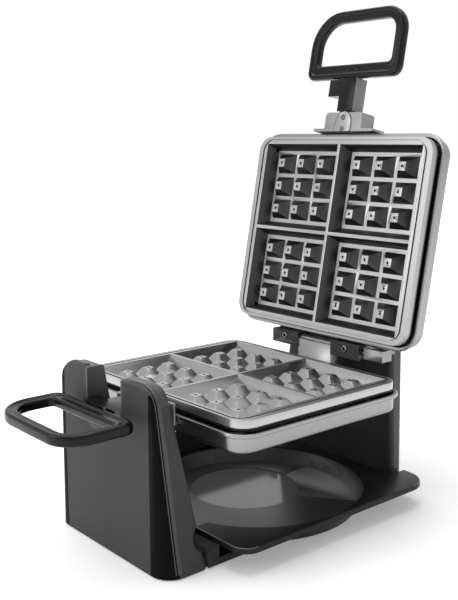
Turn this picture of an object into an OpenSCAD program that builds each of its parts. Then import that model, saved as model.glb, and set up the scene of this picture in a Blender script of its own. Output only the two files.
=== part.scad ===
// Rotary waffle maker: two hinged grid plates turn together in a cradle over a slide-out drip tray.
// Origin on the floor below the middle of the plates; +X runs along the flip axis from the handles to
// the hinge, +Y to the back, +Z up. The lid is drawn open.

/* [Plates] */
// Width of each cooking plate along the flip axis
plate_w = 198; // [192:1:204]
// Depth of each cooking plate from front to back
plate_d = 236; // [230:1:242]
// Corner radius of the plates
plate_r = 16; // [12:1:20]
// Height of the plate's visible rim band
plate_skirt = 9.4; // [8.5:0.1:10]
// Gap between the two plates when the lid is shut
plate_gap = 0.6; // [0.4:0.1:1]
// Depth of the waffle pockets
pocket_depth = 12.8; // [12:0.1:13.5]
// Metal left below a pocket
pocket_floor = 3; // [2.5:0.1:3.5]
// Width of the rim between the plate's edge and the pockets, side to side
rim_w = 7.3; // [6.5:0.1:8]
// Width of the rim between the plate's edge and the pockets, front to back
rim_d = 12; // [11:0.1:13]
// Width of the ridges that part the four waffles
ridge_w = 3; // [2.4:0.1:3.6]
// How far the pocket walls lean in, side to side
draft_x = 5.9; // [5:0.1:6.5]
// How far the pocket walls lean in, front to back
draft_y = 7; // [6:0.1:8]
// Half the stud top's width
stud_top = 4.3; // [3.8:0.1:4.8]
// How far the stud tops lie below the rim
stud_drop = 2.6; // [2:0.1:3.2]
// Width of the pocket floor between two studs
stud_strip = 4; // [3.4:0.1:4.6]
// Radius of the dimple in each stud top
dimple_r = 1.4; // [1:0.1:1.8]
// Width of the groove around the rim
groove_w = 2; // [1.5:0.1:2.5]
// Depth of the groove around the rim
groove_depth = 1.2; // [0.8:0.1:1.6]

/* [Housings] */
// Gap between a plate's rim band and the housing bead
bead_gap = 1.6; // [1.2:0.1:2]
// Height of the housing bead
bead_h = 3.8; // [3:0.1:4.5]
// How far the bead stands out past the plate's edge
bead_out = 5.5; // [5:0.1:6]
// How far the housing wall lies outside the plate's edge
wall_out = 2.5; // [2:0.1:3]
// Depth of a housing from the parting plane to its outside
housing_depth = 29.5; // [28.5:0.1:32]
// Sheet thickness of the housings
housing_t = 1.2; // [1:0.1:1.5]
// Radius of the housing's lower edges
housing_edge_r = 8; // [6:0.5:10]

/* [Flip axis and hinge] */
// Height of the flip axis above the floor
axis_h = 135; // [133:1:145]
// Distance from the plate's edge to the lid hinge pin
hinge_out = 13.8; // [13.5:0.1:15]
// Height of the lid hinge pin above the parting plane
hinge_rise = 13.8; // [13:0.1:14.5]
// Angle of the open lid
lid_open = 100.5; // [95:0.5:102]
// Radius of the hinge pin
pin_r = 2.5; // [2:0.1:3]
// Width of the hinge block between the two ears
block_w = 46; // [40:1:50]
// Width of each hinge ear
ear_w = 38; // [34:1:40]
// Radius of the swivel shaft
shaft_r = 8; // [7:0.1:9]

/* [Handles] */
// Width of a handle loop
handle_w = 122; // [116:1:128]
// Reach of a handle loop along the flip axis
handle_reach = 69.5; // [66:0.5:74]
// Thickness of a handle loop
handle_t = 10; // [8:0.5:12]
// Width of the loop's bars
handle_bar = 11.5; // [10:0.5:13]
// Width of the bar next to the neck
handle_root = 14.5; // [13:0.5:16]
// Length of the neck between bracket and handle
neck_len = 35; // [34:0.5:36]
// Width of the neck
neck_w = 21; // [19:0.5:22]
// Height of the neck above its parting plane
neck_h = 17; // [15:0.5:18]
// Radius of the journal that turns in the cradle
journal_r = 25.4; // [24:0.1:26]
// Width of a bracket
bracket_w = 49.6; // [46:0.2:52]
// Reach of a bracket from the housing bead
bracket_reach = 19.5; // [18:0.5:20]

/* [Base] */
// Depth of both uprights at the floor
base_d = 172; // [166:1:180]
// Height of the uprights
upright_h = 161; // [160:1:166]
// Distance from the left upright's outer face to the handle
handle_clear = 7.1; // [6:0.1:8]
// Distance from the hinge block to the right upright's foot
block_clear = 9.5; // [9:0.1:11]
// Thickness of the left upright at the top
left_top_t = 17.6; // [16:0.1:19]
// Thickness of the left upright at the floor
left_foot_t = 45; // [43:1:46]
// Thickness of the right upright
right_t = 18.4; // [17:0.1:20]
// How far the right upright leans out over its height
right_lean = 11; // [9:0.5:12]
// Wall thickness of the upright shells
shell_t = 2.5; // [2:0.1:3]
// Plan radius of the uprights' outer corners
upright_r = 19; // [16:1:22]
// Thickness of the base pan
pan_t = 3; // [2.5:0.1:3.5]
// Height of the wall behind the tray
bay_h = 50; // [40:1:54]
// Thickness of the wall behind the tray
bay_t = 2.5; // [2:0.1:3]
// Clearance between the base pan and the floor
pan_lift = 4; // [3.5:0.1:4.5]
// Radius of the rubber feet
foot_r = 8; // [7:0.5:10]

/* [Tray] */
// Height of the tray's top face
tray_top = 25.3; // [24.5:0.1:26]
// Depth of the tray's edge band
tray_lip = 5; // [4:0.1:5.5]
// Sheet thickness of the tray
tray_t = 2; // [1.8:0.1:2]
// Distance from the flip axis to the tray's front edge
tray_front = 121; // [120:1:124]
// How far the tray's wing reaches past the right upright's foot
tray_wing = 0.7; // [0.5:0.1:2]
// Width of the flat edge left of the dish
dish_edge_left = 4; // [3.5:0.1:5]
// Width of the flat edge right of the dish
dish_edge_right = 11; // [10:0.1:14]
// Width of the dish's sloping side
dish_slope = 7; // [6:0.5:10]
// Radius of the round well in the dish
well_r = 54; // [48:1:56]
// How far right of the dish's middle the well lies
well_right = 8; // [0:1:12]
// How far behind the dish's middle the well lies
well_behind = 25; // [0:1:28]
// Radius of the tray's left front corner
tray_corner_left = 16; // [10:1:27]
// Radius of the finger scoop beside the tray
scoop_r = 14; // [12:0.5:15]

/* [Hidden] */

// Clearances
slip = 0.1;
gap = 0.3;
fit = 0.05;
eps = 0.01;
// How far a cut runs past what it cuts
over = 1;

// Segments of a quarter arc in a drawn outline
arc_steps = 8;
round_fn = 64;
hull_fn = 32;

// Plates, from the parting plane outwards
half_gap = plate_gap / 2;
bead_top = plate_skirt + bead_gap;
bead_bottom = bead_top + bead_h;
pan_depth = pocket_depth + pocket_floor;
pocket_x = [ridge_w / 2, plate_w / 2 - rim_w];
pocket_y = [ridge_w / 2, plate_d / 2 - rim_d];
studs = [-1, 0, 1];
stud_pitch_x = (pocket_x[1] - pocket_x[0] - 2 * draft_x - stud_strip) / len(studs);
stud_pitch_y = (pocket_y[1] - pocket_y[0] - 2 * draft_y - stud_strip) / len(studs);
quarter_x = (pocket_x[0] + pocket_x[1]) / 2;
quarter_y = (pocket_y[0] + pocket_y[1]) / 2;
pan_wall_x = 2.7;
pan_wall_y = 3;
dimple_depth = 0.8;
boss_r = 5;
boss_root = 2;
screw_r = 1.9;
screw_head_r = 3.6;
screw_head_h = 2;
groove_inset = 3.6;

// Housings
wall_x = plate_w / 2 + wall_out;
wall_tuck = 2;
bead_tuck = 1;
wall_y = plate_d / 2 + wall_out - wall_tuck;
bead_x = plate_w / 2 + bead_out;
bead_y = plate_d / 2 + bead_out - bead_tuck;
wall_screw_depth = bead_bottom + 3.6;
housing_r = plate_r + wall_out;
housing_inside = housing_depth - housing_t;

// Heating parts
element_r = 3.2;
element_off_x = 11;
element_off_y = 15;
element_x = quarter_x + boss_r + element_off_x;
element_y = quarter_y + boss_r + element_off_y;
element_bend = 20;
element_pin_r = 1.6;
element_pin_y = 11.6;
element_pin_inset = 6;
element_depth = pan_depth + element_r + slip;
reflector_depth = element_depth + element_r + 1;
reflector_t = 0.8;
reflector_over = 14;
thermostat_y = 30;
thermostat_r = 9;
thermostat_h = 4;
thermostat_cap_r = 6;
thermostat_cap_h = 2;
fuse_y = -27;
fuse_len = 34;
fuse_r = 1.8;
saddle_len = 26;
saddle_w = 8;
saddle_h = 2;

// Hinge
hinge_x = plate_w / 2 + hinge_out;
knuckle_r = 6;
lead_r = 3;
lead_gap = 0.5;
lead_end = 1;
knuckle_flat = 1;
block_front = bead_x + 0.7;
block_back = hinge_x + 8.2;
block_depth = 27;
block_step = 1.6;
block_bore_wall = 3;
block_screw_len = 8;
block_screw_y = block_w / 2 - 9.2;
ear_size = 14.4;
ear_front = hinge_x - 8.3;
ear_top = hinge_rise + 7.1;
ear_gap = 0.4;
ear_y = block_w / 2 + ear_gap;
ear_foot_h = 9;
ear_foot_x = 4;
ear_screw_drop = 5;
ear_screw_len = 3.8;
lug_w = 23;
lug_out = 6.6;
lug_h = 11;
pin_head_r = pin_r + 1.2;
pin_head_t = 2;
pin_head_gap = 0.6;
ring_t = 1.2;
ring_r = shaft_r + 3;
ring_groove = 1;

// Brackets, necks and handles, along -X from the housing bead
bracket_x0 = bead_x + gap;
bracket_x1 = bead_x + gap + bracket_reach;
bracket_face = 1.1;
bracket_r = 4;
bracket_edge_r = 1;
flange_w = 80;
flange_t = 3;
flange_r = 1.4;
flange_screw_y = flange_w / 2 - 8;
clamp_face = half_gap + 0.3;
clamp_w = 21.4;
clamp_t = 2.5;
clamp_gap = 0.7;
clamp_over = 0.9;
clamp_head_r = 2.8;
clamp_head_h = 1.2;
clamp_sink = 1.6;
bracket_depth = 20;
root_w = 16;
root_step = 2;
root_x = bracket_x0 + 3.2;
neck_x0 = bracket_x1 + clamp_over + gap;
neck_x1 = bracket_x1 + neck_len;
neck_face = half_gap + 0.3;
journal_w = 17;
journal_end = 1.5;
journal_x0 = neck_x1 - journal_end - journal_w;
journal_x1 = neck_x1 - journal_end;
handle_face = half_gap + 0.6;
handle_soft = 1.6;
handle_far = neck_x1 + handle_reach;
handle_radii = [8, 37, 25, 10];
loop_radii = [5, 25.5, 13.5, 5];
handle_screw_y = neck_w / 2 - 4.2;
handle_screw_len = 8;
handle_head_r = 3;
handle_seat = neck_x1 + 8;
handle_screw_z = half_gap + handle_t / 2;
clamp_screws = [bracket_x0 + 2.4, bracket_x0 + 14.2];
clamp_screw_end = neck_h - 4;
clamp_hole_end = neck_h - 3;

// Uprights
left_out = neck_x1 - handle_clear;
left_in_top = left_out - left_top_t;
left_in_foot = left_out - left_foot_t;
right_in_foot = block_back + block_clear;
right_out_foot = right_in_foot + right_t;
shell_bottom = 1;
crown_r = 19;
crown_in = 34;
crown_y = base_d / 2 - crown_in;
crown_z = upright_h - crown_r;
upright_lean = tan(atan(crown_in / (crown_z - shell_bottom))
                   - asin(crown_r / norm([crown_in, crown_z - shell_bottom])));
crown_edge = 2.5;
upright_inner_r = 6;
right_outer_r = 8;
right_inner_r = 4;
liner_r = journal_r + 0.6;
liner_t = 2.5;
pan_top = pan_lift + pan_t;
pan_lean = 1;
seam_foot = left_out - 15.2;
seam_lean = 0.056;
seam_top = upright_h + 5;
right_seam = 6;
support_t = 2;
left_support_w = 80;
left_support_x = left_out - 5;
left_support_top = axis_h - 8;
right_support_w = 60;
right_support_x = right_in_foot + 14.2;
right_support_top = axis_h + 18;
bearing_r = 12;
bearing_x0 = right_in_foot + 10.7;
bearing_x1 = bearing_x0 + 10.8;
bearing_lip = 2;
bearing_flange = 3;
bearing_hole_end = 8;
spot_face = 3;
shaft_end = bearing_x1 + 3;
terminal_x = right_in_foot + shell_t + 2.5;
terminal_w = 7.5;
terminal_y = [12, 48];
terminal_h = 14;
terminal_pitch = 10;
terminal_r = 1.8;
gland_r = 5;
gland_wall = 1.8;
gland_collar = 2;
gland_collar_y = [1, 4];
gland_len = [-8, 9];
gland_z = 25;
gland_x = right_in_foot + 10.5;
gland_seat = 20;
foot_x = left_in_foot + 13.8;
foot_y = base_d / 2 - 24;
foot_recess = 2;

// Tray
tray_left = -left_in_foot + 9.2;
tray_right = right_out_foot + tray_wing;
tray_inner_right = right_in_foot - 1.5;
tray_wing_y = -base_d / 2 - 0.5;
tray_corner = 27;
tray_cut = 50;
wing_turn = 345;
dish_r = (tray_inner_right - tray_left - dish_edge_left - dish_edge_right) / 2;
dish_floor_r = dish_r - dish_slope;
dish_edge_front = 3;
dish_x = tray_left + dish_edge_left + dish_r;
dish_y = -tray_front + dish_edge_front + dish_r;
dish_floor = 10;
dish_wall = tray_t - 0.4;
dish_fn = 96;
well_depth = 0.6;
tray_back = dish_y + dish_r + dish_edge_left;
rail_top = tray_top - tray_lip - gap;
rail_gap = 1.5;
rail_left = dish_x - dish_r - rail_gap;
rail_right = dish_x + dish_r + rail_gap;
bay_left = -left_in_foot - 9;
bay_right = right_in_foot + 2.5;
bay_back = tray_back + 1.5 + bay_t;
relief_y = 56;
relief_up = 1;
relief_x = tray_left + 27;
scoop_x = -left_in_foot - gap;
scoop_z = tray_top + 4.1;
scoop_len = 24;

// Outlines -------------------------------------------------------------------------------------

function arc(cx, cy, r, from, to) =
    [for (i = [0:arc_steps])
        let (a = from + (to - from) * i / arc_steps)
            [cx + r * cos(a), cy + r * sin(a)]];

// Rectangle from x0,y0 to x1,y1 with corner radii [right-back, left-back, left-front, right-front]
function rounded(x0, y0, x1, y1, r) = concat(
    arc(x1 - r[0], y1 - r[0], r[0], 0, 90),
    arc(x0 + r[1], y1 - r[1], r[1], 90, 180),
    arc(x0 + r[2], y0 + r[2], r[2], 180, 270),
    arc(x1 - r[3], y0 + r[3], r[3], 270, 360));

function even(hx, hy, r) = rounded(-hx, -hy, hx, hy, [r, r, r, r]);

// Extrudes an outline drawn in Y and Z along X
module along_x(x0, x1) {
    translate([x0, 0, 0])
        rotate([90, 0, 90])
            linear_extrude(x1 - x0)
                children();
}

// Extrudes an outline drawn in X and Z along Y
module along_y(y0, y1) {
    translate([0, y1, 0])
        rotate([90, 0, 0])
            linear_extrude(y1 - y0)
                children();
}

module slab(z0, z1) {
    translate([0, 0, z0])
        linear_extrude(z1 - z0)
            children();
}

module box(x, y, z) {
    translate([x[0], y[0], z[0]])
        cube([x[1] - x[0], y[1] - y[0], z[1] - z[0]]);
}

module rod_x(x0, x1, r, y, z) {
    translate([x0, y, z])
        rotate([0, 90, 0])
            cylinder(h = x1 - x0, r = r, $fn = round_fn);
}

module rod_y(y0, y1, r, x, z) {
    translate([x, y0, z])
        rotate([-90, 0, 0])
            cylinder(h = y1 - y0, r = r, $fn = round_fn);
}

module rod_z(z0, z1, r, x, y) {
    translate([x, y, z0])
        cylinder(h = z1 - z0, r = r, $fn = round_fn);
}

// Places ----------------------------------------------------------------------------------------

module at_axis() {
    translate([0, 0, axis_h])
        children();
}

// A half is drawn with +Z away from the parting plane; the lower half is its mirror image
module lower_half() {
    at_axis()
        mirror([0, 0, 1])
            children();
}

module upper_half() {
    at_axis()
        translate([hinge_x, 0, hinge_rise])
            rotate([0, lid_open, 0])
                translate([-hinge_x, 0, -hinge_rise])
                    children();
}

module at_bosses() {
    for (sx = [-1, 1])
        for (sy = [-1, 1])
            translate([sx * quarter_x, sy * quarter_y, 0])
                children();
}

// Halves of the grill -----------------------------------------------------------------------------

// Section of the pockets across one direction: from..to at the rim, leaning in towards the floor
module pocket_section(span, draft) {
    for (s = [-1, 1])
        polygon([
            [s * span[0], 0],
            [s * span[1], 0],
            [s * (span[1] - draft), pocket_depth],
            [s * (span[0] + draft), pocket_depth]
        ]);
}

module stud_section(centre, pitch) {
    base = (pitch - stud_strip) / 2;
    for (s = [-1, 1])
        for (i = studs)
            translate([s * centre + i * pitch, 0])
                polygon([[-base, pocket_depth + eps], [base, pocket_depth + eps],
                         [stud_top, stud_drop], [-stud_top, stud_drop]]);
}

module pockets() {
    reach = plate_d;
    difference() {
        intersection() {
            along_y(-reach, reach) pocket_section(pocket_x, draft_x);
            along_x(-reach, reach) pocket_section(pocket_y, draft_y);
        }
        intersection() {
            along_y(-reach, reach) stud_section(quarter_x, stud_pitch_x);
            along_x(-reach, reach) stud_section(quarter_y, stud_pitch_y);
        }
    }
}

module grid_plate() {
    half = groove_w / 2;
    edge_x = plate_w / 2 - groove_inset;
    edge_y = plate_d / 2 - rim_d / 2 - half;
    edge_r = plate_r - groove_inset;
    difference() {
        union() {
            slab(half_gap, plate_skirt)
                polygon(even(plate_w / 2, plate_d / 2, plate_r));
            slab(plate_skirt, pan_depth)
                polygon(even(pocket_x[1] - pan_wall_x, pocket_y[1] - pan_wall_y, plate_r - rim_w / 2));
            at_bosses() rod_z(pan_depth, housing_inside, boss_r, 0, 0);
        }
        pockets();
        difference() {
            slab(0, half_gap + groove_depth)
                polygon(even(edge_x + half, edge_y + half, edge_r + half));
            slab(-eps, half_gap + groove_depth + eps)
                polygon(even(edge_x - half, edge_y - half, edge_r - half));
        }
        at_bosses()
            for (i = studs)
                for (j = studs)
                    rod_z(0, stud_drop + dimple_depth, dimple_r, i * stud_pitch_x, j * stud_pitch_y);
        at_bosses() rod_z(pan_depth + boss_root, housing_inside + over, screw_r + slip, 0, 0);
    }
}

// Section of the housing: straight wall with a round lower edge
module tub_section(half, depth, r) {
    polygon(concat([[half, 0], [half, depth - r]],
                   arc(half - r, depth - r, r, 0, 90),
                   arc(-half + r, depth - r, r, 90, 180),
                   [[-half, 0]]));
}

module tub(hx, hy, depth, plan_r, edge_r) {
    intersection() {
        slab(bead_top, depth) polygon(even(hx, hy, plan_r));
        along_y(-hy - over, hy + over) tub_section(hx, depth, edge_r);
        along_x(-hx - over, hx + over) tub_section(hy, depth, edge_r);
    }
}

module housing(hinge_side) {
    screw_x = wall_x - housing_t - over;
    difference() {
        union() {
            tub(wall_x, wall_y, housing_depth, housing_r, housing_edge_r);
            slab(bead_top, bead_bottom)
                polygon(even(bead_x, bead_y, housing_r + bead_out - wall_out));
        }
        translate([0, 0, -eps])
            slab(bead_top, bead_bottom)
                polygon(even(wall_x - housing_t, wall_y - housing_t, housing_r - housing_t));
        tub(wall_x - housing_t, wall_y - housing_t, housing_inside, housing_r - housing_t,
            housing_edge_r - housing_t);
        at_bosses() rod_z(housing_inside - over, housing_depth + over, screw_r + slip, 0, 0);
        for (s = [-1, 1])
            rod_x(-wall_x - over, -screw_x, screw_r + slip, s * flange_screw_y, wall_screw_depth);
        if (hinge_side)
            for (s = [-1, 1])
                rod_x(screw_x, wall_x + over, screw_r + slip, s * block_screw_y, wall_screw_depth);
    }
}

module element_ring() {
    for (sx = [-1, 1])
        rod_y(-element_y + element_bend, element_y - element_bend, element_r, sx * element_x, element_depth);
    for (sy = [-1, 1])
        rod_x(-element_x + element_bend, element_x - element_bend, element_r, sy * element_y, element_depth);
    for (k = [0:3])
        let (sx = (k == 0 || k == 3) ? 1 : -1, sy = k < 2 ? 1 : -1)
            translate([sx * (element_x - element_bend), sy * (element_y - element_bend), element_depth])
                rotate([0, 0, 90 * k])
                    rotate_extrude(angle = 90, $fn = round_fn)
                        translate([element_bend, 0])
                            circle(r = element_r, $fn = hull_fn);
}

module element() {
    break_y = element_pin_y - element_pin_r;
    difference() {
        element_ring();
        box([element_x - 2 * element_r, element_x + 2 * element_r], [-break_y, break_y], [0, housing_depth]);
    }
    for (s = [-1, 1])
        rod_x(element_x, wall_x - housing_t - element_pin_inset, element_pin_r, s * element_pin_y,
              element_depth);
}

module reflector() {
    difference() {
        slab(reflector_depth, reflector_depth + reflector_t)
            polygon(even(element_x + reflector_over, element_y + reflector_over, element_bend));
        at_bosses() rod_z(reflector_depth - over, reflector_depth + reflector_t + over, boss_r + slip, 0, 0);
    }
}

module thermostat() {
    top = pan_depth + thermostat_h;
    rod_z(pan_depth, top, thermostat_r, 0, thermostat_y);
    rod_z(top, top + thermostat_cap_h, thermostat_cap_r, 0, thermostat_y);
}

module thermal_fuse() {
    box([-saddle_w / 2, saddle_w / 2], [fuse_y - saddle_len / 2, fuse_y + saddle_len / 2],
        [pan_depth, pan_depth + saddle_h]);
    rod_y(fuse_y - fuse_len / 2, fuse_y + fuse_len / 2, fuse_r, 0, pan_depth + saddle_h + fuse_r - 2 * slip);
}

module plate_screws() {
    at_bosses() {
        rod_z(housing_depth, housing_depth + screw_head_h, screw_head_r, 0, 0);
        rod_z(pan_depth + 2 * boss_root, housing_depth, screw_r, 0, 0);
    }
}

module bracket() {
    half = bracket_w / 2;
    flange_half = flange_w / 2;
    difference() {
        union() {
            slab(bracket_face, bracket_depth)
                polygon(rounded(-bracket_x1, -half, -bracket_x0 - bracket_edge_r, half,
                                [bracket_edge_r, bracket_r, bracket_r, bracket_edge_r]));
            slab(bracket_face, bracket_depth)
                polygon(rounded(-bracket_x0 - flange_t, -flange_half, -bracket_x0, flange_half,
                                [bracket_edge_r, flange_r, flange_r, bracket_edge_r]));
            box([-bracket_x0 - bracket_edge_r, -wall_x],
                [-flange_half + bracket_edge_r, flange_half - bracket_edge_r],
                [bead_bottom + gap, bracket_depth]);
        }
        slab(0, bracket_face + clamp_t)
            clamp_outline(clamp_gap);
        box([-bracket_x1 - over, -root_x], [-root_w / 2 - slip, root_w / 2 + slip],
            [bracket_face + clamp_t - eps, neck_h - root_step]);
        clamp_holes(bracket_depth + over);
        for (s = [-1, 1])
            rod_x(-bracket_x0 - flange_t - over, -wall_x + over, screw_r + slip, s * flange_screw_y,
                  wall_screw_depth);
    }
}

module clamp_outline(grow) {
    half = clamp_w / 2 + grow;
    end = bracket_x1 + clamp_over + grow;
    polygon(concat([[-bracket_x0 + over, -half], [-bracket_x0 + over, half]],
                   arc(-end + half, 0, half, 90, 270)));
}

module clamp_holes(depth) {
    for (x = clamp_screws)
        rod_z(-over, depth, screw_r + slip, -x, 0);
}

module clamp_plate() {
    difference() {
        intersection() {
            slab(clamp_face, bracket_face + clamp_t - eps) clamp_outline(0);
            box([-neck_x0, -bracket_x0], [-clamp_w, clamp_w], [0, neck_h]);
        }
        clamp_holes(neck_h);
        for (x = clamp_screws)
            rod_z(0, clamp_face + clamp_sink, clamp_head_r + slip, -x, 0);
    }
}

module bracket_screws() {
    head = clamp_face + clamp_sink;
    for (x = clamp_screws) {
        rod_z(head - clamp_head_h, head, clamp_head_r, -x, 0);
        rod_z(head, clamp_screw_end, screw_r, -x, 0);
    }
    for (s = [-1, 1]) {
        rod_x(-wall_x + housing_t, -wall_x + housing_t + screw_head_h, screw_head_r, s * flange_screw_y,
              wall_screw_depth);
        rod_x(-bracket_x0 - flange_t + over, -wall_x + housing_t, screw_r, s * flange_screw_y,
              wall_screw_depth);
    }
}

// The journal's arc starts at a0 and ends at a1, measured in the Y-Z plane of the half
module neck(a0, a1) {
    difference() {
        union() {
            box([-neck_x1, -neck_x0], [-neck_w / 2, neck_w / 2], [neck_face, neck_h]);
            box([-neck_x0 - over, -root_x - gap], [-root_w / 2, root_w / 2],
                [bracket_face + clamp_t + slip, neck_h - root_step - slip]);
            intersection() {
                rod_x(-journal_x1, -journal_x0, journal_r, 0, 0);
                box([-journal_x1, -journal_x0], [a0, a1], [neck_face, journal_r + over]);
            }
        }
        clamp_holes(clamp_hole_end);
        handle_screw_holes(screw_r + slip);
    }
}

module handle_screw_holes(r) {
    for (s = [-1, 1])
        rod_x(-neck_x1 - handle_root - over, -neck_x1 + handle_screw_len + over, r, s * handle_screw_y,
              handle_screw_z);
}

module handle_outline(inset) {
    hy = handle_w / 2 - inset;
    difference() {
        polygon(rounded(-handle_far + inset, -hy, -neck_x1 - inset, hy, handle_radii));
        polygon(rounded(-handle_far + handle_bar - inset, -handle_w / 2 + handle_bar - inset,
                        -neck_x1 - handle_root + inset, handle_w / 2 - handle_bar + inset, loop_radii));
    }
}

module handle() {
    top = handle_face + handle_t;
    difference() {
        union() {
            slab(handle_face, handle_face + handle_soft) handle_outline(handle_soft / 2);
            slab(handle_face + handle_soft, top - handle_soft) handle_outline(0);
            slab(top - handle_soft, top) handle_outline(handle_soft / 2);
        }
        handle_screw_holes(screw_r + slip);
        for (s = [-1, 1])
            rod_x(-neck_x1 - handle_root - over, -handle_seat, handle_head_r + slip, s * handle_screw_y,
                  handle_screw_z);
    }
}

module handle_screws() {
    for (s = [-1, 1]) {
        rod_x(-handle_seat - screw_head_h, -handle_seat, handle_head_r, s * handle_screw_y, handle_screw_z);
        rod_x(-handle_seat, -neck_x1 + handle_screw_len, screw_r, s * handle_screw_y, handle_screw_z);
    }
}

// Hinge and swivel ------------------------------------------------------------------------------

module hinge_block() {
    color("silver")
        at_axis()
            difference() {
                union() {
                    along_y(-block_w / 2, block_w / 2)
                        polygon([[block_front, -block_depth], [block_back, -block_depth],
                                 [block_back, hinge_rise - knuckle_r], [hinge_x + knuckle_r, hinge_rise],
                                 [hinge_x, hinge_rise + knuckle_r - knuckle_flat],
                                 [block_front, hinge_rise + block_step]]);
                    rod_y(-block_w / 2, block_w / 2, knuckle_r, hinge_x, hinge_rise);
                    box([wall_x, block_front + over], [-block_w / 2, block_w / 2],
                        [-block_depth, -bead_bottom - gap]);
                }
                rod_y(-block_w, block_w, pin_r + fit, hinge_x, hinge_rise);
                rod_x(block_front + block_bore_wall, block_back + over, shaft_r + fit, 0, 0);
                for (s = [-1, 1])
                    rod_x(wall_x - over, block_front + block_screw_len + over, screw_r + slip,
                          s * block_screw_y, -wall_screw_depth);
            }
}

module hinge_block_screws() {
    color("dimgray")
        at_axis()
            for (s = [-1, 1]) {
                rod_x(wall_x - housing_t - screw_head_h, wall_x - housing_t, screw_head_r, s * block_screw_y,
                      -wall_screw_depth);
                rod_x(wall_x - housing_t, block_front + block_screw_len, screw_r, s * block_screw_y,
                      -wall_screw_depth);
            }
}

module hinge_pin() {
    reach = ear_y + ear_w;
    color("silver")
        at_axis() {
            rod_y(-reach - pin_head_gap, reach + pin_head_gap, pin_r, hinge_x, hinge_rise);
            for (s = [-1, 1])
                translate([0, s * (reach + pin_head_gap + pin_head_t / 2), 0])
                    rod_y(-pin_head_t / 2, pin_head_t / 2, pin_head_r, hinge_x, hinge_rise);
        }
}

module swivel_shaft() {
    color("silver")
        at_axis()
            difference() {
                rod_x(block_front + block_bore_wall, shaft_end, shaft_r, 0, 0);
                rod_x(block_front, shaft_end + over, lead_r + lead_gap, 0, 0);
                groove_ring(shaft_r + over, shaft_r - ring_groove);
            }
}

module groove_ring(outer, inner) {
    ring_x = bearing_x1 + gap;
    difference() {
        rod_x(ring_x, ring_x + ring_t, outer, 0, 0);
        rod_x(ring_x - over, ring_x + ring_t + over, inner, 0, 0);
    }
}

module shaft_retainer() {
    color("silver")
        at_axis()
            groove_ring(ring_r, shaft_r - ring_groove + fit);
}

module swivel_lead() {
    color("black")
        at_axis()
            rod_x(block_front + block_bore_wall, shaft_end + lead_end, lead_r, 0, 0);
}

// An ear is square to the open lid; its foot lies on the lid housing's wall
module hinge_ear(y0) {
    y1 = y0 + ear_w;
    difference() {
        union() {
            at_axis()
                box([ear_front, ear_front + ear_size], [y0, y1], [ear_top - ear_size, ear_top]);
            upper_half()
                box([wall_x, hinge_x - ear_foot_x], [y0, y1], [bead_bottom + gap, bead_bottom + ear_foot_h]);
        }
        at_axis() {
            rod_y(y0 - over, y1 + over, pin_r + fit, hinge_x, hinge_rise);
            rod_x(ear_front - over, ear_front + ear_screw_len + slip, screw_r + slip, (y0 + y1) / 2,
                  ear_top - ear_screw_drop);
        }
    }
}

module front_hinge_ear() {
    color("#2a2a2a")
        hinge_ear(-ear_y - ear_w);
}

module rear_hinge_ear() {
    color("#2a2a2a")
        hinge_ear(ear_y);
}

module ear_screws() {
    color("silver")
        at_axis()
            for (s = [-1, 1]) {
                y = s * (ear_y + ear_w / 2);
                rod_x(ear_front - screw_head_h, ear_front, screw_head_r, y, ear_top - ear_screw_drop);
                rod_x(ear_front, ear_front + ear_screw_len, screw_r, y, ear_top - ear_screw_drop);
            }
}

module lid_stop_lug() {
    lug_y1 = -ear_y - ear_w - lug_out;
    color("silver") {
        at_axis()
            box([ear_front, ear_front + ear_size], [lug_y1 - lug_w, lug_y1], [ear_top - lug_h, ear_top]);
        upper_half()
            box([wall_x, hinge_x - ear_foot_x], [lug_y1 - lug_w, lug_y1],
                [bead_bottom + gap, bead_bottom + ear_foot_h]);
    }
}

// Base ----------------------------------------------------------------------------------------------

// Solid of an upright, inset all round: x spans at the floor and at the crown, corner radii by side
module upright_solid(foot, crown, radii, inset) {
    half = base_d / 2 - inset;
    hull() {
        slab(shell_bottom - eps, shell_bottom)
            polygon(rounded(foot[0] + inset, -half, foot[1] - inset, half, radii));
        for (s = [-1, 1])
            for (edge = [0, 1])
                translate([crown[0] + inset + edge * crown_edge, s * crown_y, crown_z])
                    rotate([0, 90, 0])
                        cylinder(h = crown[1] - crown[0] - 2 * inset - 2 * edge * crown_edge,
                                 r = crown_r - 1 + edge - inset, $fn = hull_fn);
    }
}

module left_solid(inset) {
    upright_solid([-left_out, -left_in_foot], [-left_out, -left_in_top],
                  [upright_inner_r, upright_r - inset, upright_r - inset, upright_inner_r], inset);
}

module right_solid(inset) {
    upright_solid([right_in_foot, right_out_foot],
                  [right_in_foot + right_lean, right_out_foot + right_lean],
                  [right_outer_r, right_inner_r, right_inner_r, right_outer_r], inset);
}

module pan_space() {
    inset = shell_t + gap;
    half = base_d / 2 - inset - pan_lean;
    right_r = right_outer_r - inset;
    left_r = upright_r - inset - pan_lean;
    slab(shell_bottom - over, pan_top)
        polygon(rounded(-left_out + inset, -half, right_out_foot - inset, half,
                        [right_r, left_r, left_r, right_r]));
}

// Region on the inner (+X) side of the left upright's seam
module left_inner_side() {
    along_y(-base_d, base_d)
        polygon([[-seam_foot, 0], [0, 0], [0, seam_top], [-seam_foot - seam_lean * seam_top, seam_top]]);
}

module right_inner_side() {
    lean = right_lean / crown_z * seam_top;
    along_y(-base_d, base_d)
        polygon([[right_in_foot + right_seam, 0], [0, 0], [0, seam_top],
                 [right_in_foot + right_seam + lean, seam_top]]);
}

module cradle_notch(r) {
    at_axis() {
        rod_x(-left_out - over, -left_in_foot, r, 0, 0);
        box([-left_out - over, -left_in_foot], [-r, r], [0, upright_h]);
    }
}

module scoop() {
    rod_y(-base_d / 2 - over, -base_d / 2 + scoop_len, scoop_r, scoop_x, scoop_z);
}

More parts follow.
